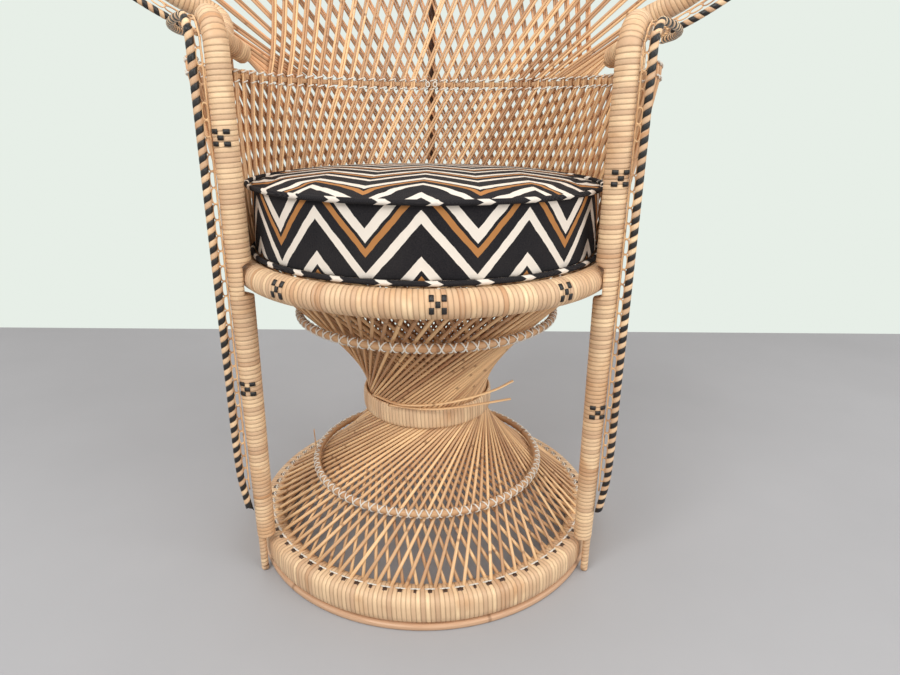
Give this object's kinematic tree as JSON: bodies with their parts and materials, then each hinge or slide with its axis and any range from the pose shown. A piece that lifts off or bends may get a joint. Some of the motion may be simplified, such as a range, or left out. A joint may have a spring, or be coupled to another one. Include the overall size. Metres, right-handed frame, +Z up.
{
  "type": "peacock chair",
  "caption": "Woven cane armchair with an hourglass base, wound seat ring and arms, a tall fan-shaped open back and a loose round seat cushion.",
  "frame": {"origin": "centre of the bounding box on the floor plane", "axes": "+Z up, -Y the way the sitter faces, +X to the right in the front view"},
  "size_m": [1.129, 0.6774, 1.4835],
  "materials": {
    "winding": "satin",
    "cane": "satin",
    "striped": "satin",
    "deck": "matte",
    "print": "matte",
    "piping": "matte",
    "foam": "matte"
  },
  "bodies": {
    "frame": {"base_rim_hoop": "cane", "base_ring": "winding", "base_canes_outer_right_lower": "cane", "base_canes_outer_right_upper": "cane", "base_canes_inner_right_lower": "cane", "base_canes_inner_right_upper": "cane", "base_canes_outer_rear_lower": "cane", "base_canes_outer_rear_upper": "cane", "base_canes_inner_rear_lower": "cane", "base_canes_inner_rear_upper": "cane", "base_canes_outer_left_lower": "cane", "base_canes_outer_left_upper": "cane", "base_canes_inner_left_lower": "cane", "base_canes_inner_left_upper": "cane", "base_canes_outer_front_lower": "cane", "base_canes_outer_front_upper": "cane", "base_canes_inner_front_lower": "cane", "base_canes_inner_front_upper": "cane", "lower_hoop": "winding", "waist_band": "winding", "upper_hoop": "winding", "seat_ring": "winding", "seat_deck": "deck", "right_outer_pole": "winding", "right_lower_strut": "winding", "right_upper_pole": "winding", "right_side_border": "striped", "right_side_lace": "cane", "left_outer_pole": "winding", "left_lower_strut": "winding", "left_upper_pole": "winding", "left_side_border": "striped", "left_side_lace": "cane", "back_canes_front_left": "cane", "back_canes_rear_left": "cane", "back_canes_front_centre": "cane", "back_canes_rear_centre": "cane", "back_canes_front_right": "cane", "back_canes_rear_right": "cane", "back_centre_rib": "cane", "fan_rim_roll": "winding", "fan_lace": "cane", "fan_border": "striped", "fan_arch": "winding", "fan_spokes_front": "cane", "fan_spokes_rear": "cane"},
    "cushion": {"cushion_foam": "foam", "cushion_bottom_panel": "print", "cushion_bottom_piping": "piping", "cushion_boxing": "print", "cushion_top_piping": "piping", "cushion_top_panel": "print"}
  },
  "joints": [
    {"name": "cushion_lift", "type": "slide", "parent": "frame", "child": "cushion", "axis": [0, 0, 1], "range_m": [0, 0.36]}
  ]
}
